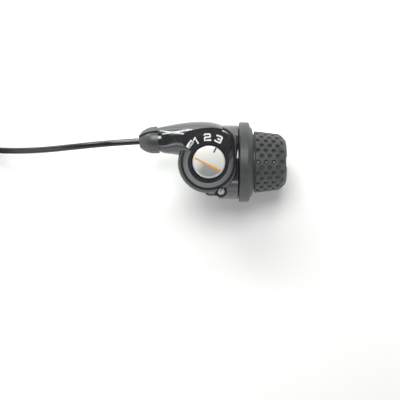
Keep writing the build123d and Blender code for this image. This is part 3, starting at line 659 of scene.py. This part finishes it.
coil_route = [coil_point(step / turn_points) for step in range(int(coil_turns * turn_points) + 1)]
casing_route = lead_route + coil_route + tail_route
casing_curve = bpy.data.curves.new("cable_casing", "CURVE")
casing_curve.dimensions = "3D"
casing_curve.bevel_depth = casing_d / 2 * MM
casing_curve.bevel_resolution = 5
casing_curve.use_fill_caps = True
casing_spline = casing_curve.splines.new("NURBS")
casing_spline.points.add(len(casing_route) - 1)
for point, at in zip(casing_spline.points, casing_route):
    point.co = (*(Vector(at) * MM), 1.0)
casing_spline.order_u = 3
casing_spline.use_endpoint_u = True
casing_spline.resolution_u = 6
cable_casing = bpy.data.objects.new("cable_casing", casing_curve)
bpy.context.collection.objects.link(cable_casing)
casing_black = moulding(
    "casing_black", dark=(0.008, 0.008, 0.009, 1.0), light=(0.012, 0.012, 0.013, 1.0),
    rough=(0.12, 0.20), grain_mm=1.0, grain_depth_mm=0.02, grain_strength=0.1,
)
casing_curve.materials.append(casing_black)
tie_nylon = moulding(
    "tie_nylon", dark=(0.02, 0.02, 0.02, 1.0), light=(0.03, 0.03, 0.03, 1.0),
    rough=(0.40, 0.50), grain_mm=0.5, grain_depth_mm=0.02, grain_strength=0.2,
)
dress(tie_nylon, "coil_tie")
ferrule_metal = plated_metal(
    "ferrule_metal", dark=(0.50, 0.48, 0.43, 1.0), light=(0.68, 0.65, 0.60, 1.0), rough=(0.22, 0.36)
)
dress(ferrule_metal, "casing_ferrule", "casing_end_cap", "wire_tip")
dress(zinc_plate, "wire_tail")
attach(cable_casing, "casing_end")
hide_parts("outer_casing", "casing_coil", "casing_tail")

# Table: a plain white sheet of matt card that the part and its casing lie on. It runs out of view
# on all sides and takes the soft shadow. Far off it stays white where the lamps no longer reach.
table_z = -25.0
table_size = 4000.0
bpy.ops.mesh.primitive_plane_add(size=table_size * MM, location=(0, 0, table_z * MM))
table = bpy.context.object
table.name = "table"
white_from = 240.0
white_to = 520.0
table_white, tree, shader, place = new_material("table_white")
shader.inputs["Base Color"].default_value = (0.92, 0.915, 0.90, 1.0)
shader.inputs["Roughness"].default_value = 0.9
shader.inputs["Specular IOR Level"].default_value = 0.1
shader.inputs["Emission Color"].default_value = (1.0, 1.0, 1.0, 1.0)
rays = tree.nodes.new("ShaderNodeLightPath").outputs
seen = calculate(tree, "MAXIMUM", rays["Is Camera Ray"], rays["Is Glossy Ray"])
far_off = ramp_between(tree, vector_value(tree, "DISTANCE", place, (0.0, 0.0, 0.0)), white_from, white_to)
tree.links.new(calculate(tree, "MULTIPLY", seen, far_off), shader.inputs["Emission Strength"])
table.data.materials.append(table_white)

# Studio light: a soft key from the cable's side, two slanting strips that the arm mirrors as its
# sharp highlight, a card for the casing's gloss alone, a wash for the table alone, and a dim room,
# brighter to one side, with a bright band that the bevel round the dial mirrors.
world = bpy.data.worlds.new("studio")
bpy.context.scene.world = world
world.use_nodes = True
tree = world.node_tree
direction = tree.nodes.new("ShaderNodeTexCoord").outputs["Generated"]
sky = tree.nodes.new("ShaderNodeSeparateXYZ")
tree.links.new(direction, sky.inputs[0])
room = tree.nodes.new("ShaderNodeValToRGB")
room_levels = [
    (0.0, 0.46), (0.20, 0.32), (0.30, 0.26), (0.38, 1.0), (0.455, 1.0), (0.50, 0.15), (0.62, 0.11),
]
room_tint = (0.97, 0.985, 1.0)
for _ in room_levels[2:]:
    room.color_ramp.elements.new(0.5)
for stop, (height, level) in zip(room.color_ramp.elements, room_levels):
    stop.position = height
    stop.color = (*(Vector(room_tint) * level), 1.0)
tree.links.new(sky.outputs["Z"], room.inputs["Fac"])
tree.links.new(room.outputs["Color"], tree.nodes["Background"].inputs["Color"])
window_side = (-0.6, -0.8, 0.0)
dim_strength = 1.15
bright_strength = 2.75
across_room = tree.nodes.new("ShaderNodeMapRange")
across_room.inputs["From Min"].default_value = -1.0
across_room.inputs["To Min"].default_value = dim_strength
across_room.inputs["To Max"].default_value = bright_strength
tree.links.new(vector_value(tree, "DOT_PRODUCT", direction, window_side), across_room.inputs["Value"])
tree.links.new(across_room.outputs["Result"], tree.nodes["Background"].inputs["Strength"])
backdrop = tree.nodes.new("ShaderNodeBackground")
backdrop.inputs["Color"].default_value = (1.0, 1.0, 1.0, 1.0)
room_or_backdrop = tree.nodes.new("ShaderNodeMixShader")
is_camera = tree.nodes.new("ShaderNodeLightPath").outputs["Is Camera Ray"]
tree.links.new(is_camera, room_or_backdrop.inputs["Fac"])
tree.links.new(tree.nodes["Background"].outputs["Background"], room_or_backdrop.inputs[1])
tree.links.new(backdrop.outputs["Background"], room_or_backdrop.inputs[2])
tree.links.new(room_or_backdrop.outputs["Shader"], tree.nodes["World Output"].inputs["Surface"])


def area_light(name, at, target, size, watts, roll_deg=0.0):
    """Rectangular lamp in millimetres that faces its target and may be rolled on its own axis."""
    lamp = bpy.data.lights.new(name, "AREA")
    lamp.shape = "RECTANGLE"
    lamp.size = size[0] * MM
    lamp.size_y = size[1] * MM
    lamp.energy = watts
    holder = bpy.data.objects.new(name, lamp)
    holder.location = Vector(at) * MM
    facing = Vector(target) - Vector(at)
    roll = Matrix.Rotation(math.radians(roll_deg), 3, "Z")
    holder.rotation_euler = (facing.to_track_quat("-Z", "Y").to_matrix() @ roll).to_euler()
    holder.visible_camera = False
    bpy.context.collection.objects.link(holder)
    return holder


def light_only(lamp, piece):
    """Let a lamp light one piece and nothing else."""
    lit = bpy.data.collections.new(lamp.name + "_lights")
    lit.objects.link(piece)
    lamp.light_linking.receiver_collection = lit


arm_at = (-22, 17, 22)
lead_at = (-55, 11, 13)
area_light("key", (-50, 265, 640), (0, 0, 0), size=(380, 280), watts=3.1)
area_light("strip_high", (-323, 395, 284), arm_at, size=(180, 60), watts=0.42, roll_deg=117.0)
area_light("strip_low", (-270, 498, 112), arm_at, size=(340, 60), watts=0.80, roll_deg=30.0)
card = area_light("card", (-126, 413, 203), lead_at, size=(120, 200), watts=1.2)
card.visible_diffuse = False
light_only(card, cable_casing)
wash = area_light("wash", (-100, 340, 250), (-100, 250, table_z), size=(500, 140), watts=2.0)
wash.data.color = (0.95, 1.0, 0.94)
wash.visible_glossy = False
light_only(wash, table)

# Camera: straight above the dial, as the photograph looks at the part. Its lens and shift put the
# dial's centre on the same pixel, at the same scale.
image_px = 400.0
px_per_mm = 1.6
dial_px = (208.9, 162.0)
camera_height = 800.0
camera_data = bpy.data.cameras.new("camera")
camera_data.sensor_width = 36.0
camera_data.lens = camera_data.sensor_width * camera_height / (image_px / px_per_mm)
camera_data.shift_x = (image_px / 2 - dial_px[0]) / image_px
camera_data.shift_y = (dial_px[1] - image_px / 2) / image_px
camera = bpy.data.objects.new("camera", camera_data)
camera.location = (0.0, 0.0, camera_height * MM)
bpy.context.collection.objects.link(camera)
bpy.context.scene.camera = camera
bpy.context.scene.view_settings.view_transform = "Standard"
